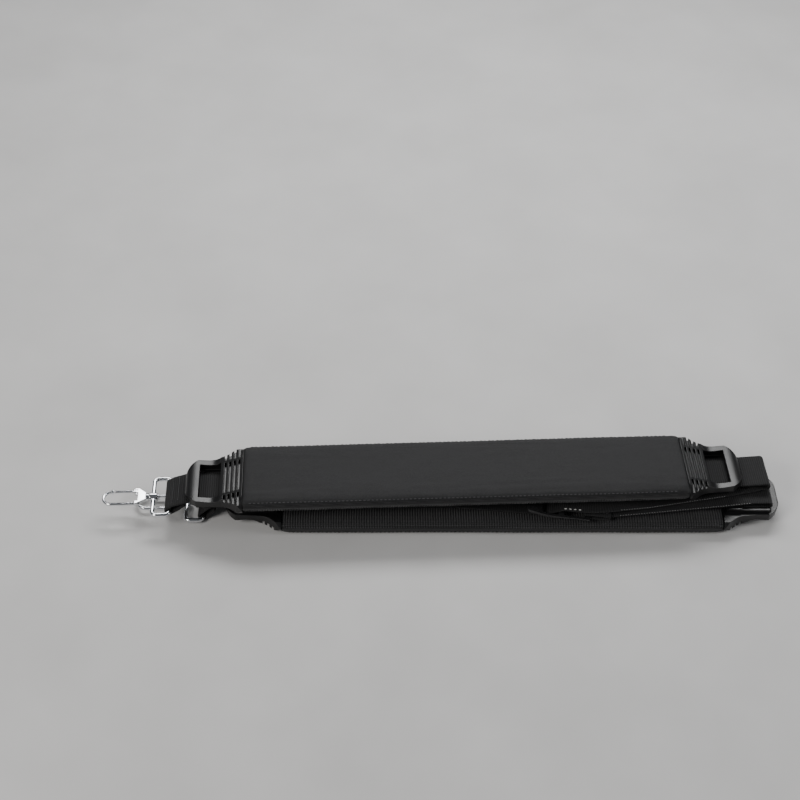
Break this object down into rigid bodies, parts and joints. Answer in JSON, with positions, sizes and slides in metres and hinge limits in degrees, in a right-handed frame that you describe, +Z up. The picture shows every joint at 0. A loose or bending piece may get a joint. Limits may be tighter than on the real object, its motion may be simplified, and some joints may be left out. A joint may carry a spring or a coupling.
{
  "type": "padded instrument strap",
  "caption": "Padded instrument strap folded in half, with moulded end caps, webbing, an adjuster and chrome swivel snap hooks.",
  "frame": {"origin": "middle of the folded strap's footprint, on the table", "axes": "+X along the strap towards its fold, +Y to the back edge, +Z up"},
  "size_m": [0.509, 0.0746, 0.0404],
  "materials": {
    "webbing": "ribbed polyester webbing, matt black",
    "pad_fabric": "fine woven cover, near-black",
    "knit_mesh": "fine vertical knit, dark grey",
    "edge_tape": "folded edge tape, black",
    "foam": "closed-cell foam, hidden",
    "cap_moulding": "moulded, semi-gloss black",
    "gloss_moulding": "moulded acetal, gloss black",
    "chrome": "bright nickel plate",
    "pin_steel": "plain steel"
  },
  "bodies": {
    "webbing": {"upper_webbing": "webbing", "lower_webbing": "webbing", "adjuster_frame": "gloss_moulding", "adjuster_collar": "webbing"},
    "upper_pad": {"upper_pad_cover": "pad_fabric", "upper_pad_foam_core": "foam", "upper_pad_mesh_lining": "knit_mesh", "upper_pad_edge_binding": "edge_tape", "upper_pad_hook_end_cap": "cap_moulding", "upper_pad_fold_end_cap": "cap_moulding"},
    "upper_ring_body": {"upper_ring": "chrome"},
    "upper_hook_body": {"upper_hook_frame": "chrome", "upper_swivel_rivet": "chrome", "upper_gate_pin": "pin_steel", "upper_gate_spring": "pin_steel"},
    "upper_gate_body": {"upper_gate": "chrome"},
    "lower_pad": {"lower_pad_cover": "pad_fabric", "lower_pad_foam_core": "foam", "lower_pad_mesh_lining": "knit_mesh", "lower_pad_edge_binding": "edge_tape", "lower_pad_hook_end_cap": "cap_moulding", "lower_pad_fold_end_cap": "cap_moulding"},
    "lower_ring_body": {"lower_ring": "chrome"},
    "lower_hook_body": {"lower_hook_frame": "chrome", "lower_swivel_rivet": "chrome", "lower_gate_pin": "pin_steel", "lower_gate_spring": "pin_steel"},
    "lower_gate_body": {"lower_gate": "chrome"}
  },
  "joints": [
    {"name": "upper_pad_slide", "type": "slide", "parent": "webbing", "child": "upper_pad", "axis": [0.9993, 0.0384, 0], "range_m": [-0.005, 0]},
    {"name": "upper_ring_pivot", "type": "hinge", "parent": "webbing", "child": "upper_ring_body", "pos_m": [-0.20317, -0.00848, 0.0165], "axis": [-0.0384, 0.9993, 0], "range_deg": [0, 70]},
    {"name": "upper_hook_swivel", "type": "hinge", "parent": "upper_ring_body", "child": "upper_hook_body", "pos_m": [-0.21586, -0.00897, 0.0165], "axis": [0.9993, 0.0384, 0], "continuous": true},
    {"name": "upper_gate_hinge", "type": "hinge", "parent": "upper_hook_body", "child": "upper_gate_body", "pos_m": [-0.22849, -0.00325, 0.0165], "axis": [0, 0, 1], "range_deg": [0, 22], "stiffness_Nm_per_rad": 0.01},
    {"name": "lower_pad_slide", "type": "slide", "parent": "webbing", "child": "lower_pad", "axis": [1, 0, 0], "range_m": [-0.004, 0]},
    {"name": "lower_ring_pivot", "type": "hinge", "parent": "webbing", "child": "lower_ring_body", "pos_m": [-0.17932, -0.00269, 0.004], "axis": [0, 1, 0], "range_deg": [-40, 6]},
    {"name": "lower_hook_swivel", "type": "hinge", "parent": "lower_ring_body", "child": "lower_hook_body", "pos_m": [-0.19202, -0.00269, 0.004], "axis": [1, 0, 0], "continuous": true},
    {"name": "lower_gate_hinge", "type": "hinge", "parent": "lower_hook_body", "child": "lower_gate_body", "pos_m": [-0.20442, 0.00351, 0.004], "axis": [0, 0, 1], "range_deg": [0, 22], "stiffness_Nm_per_rad": 0.01}
  ]
}
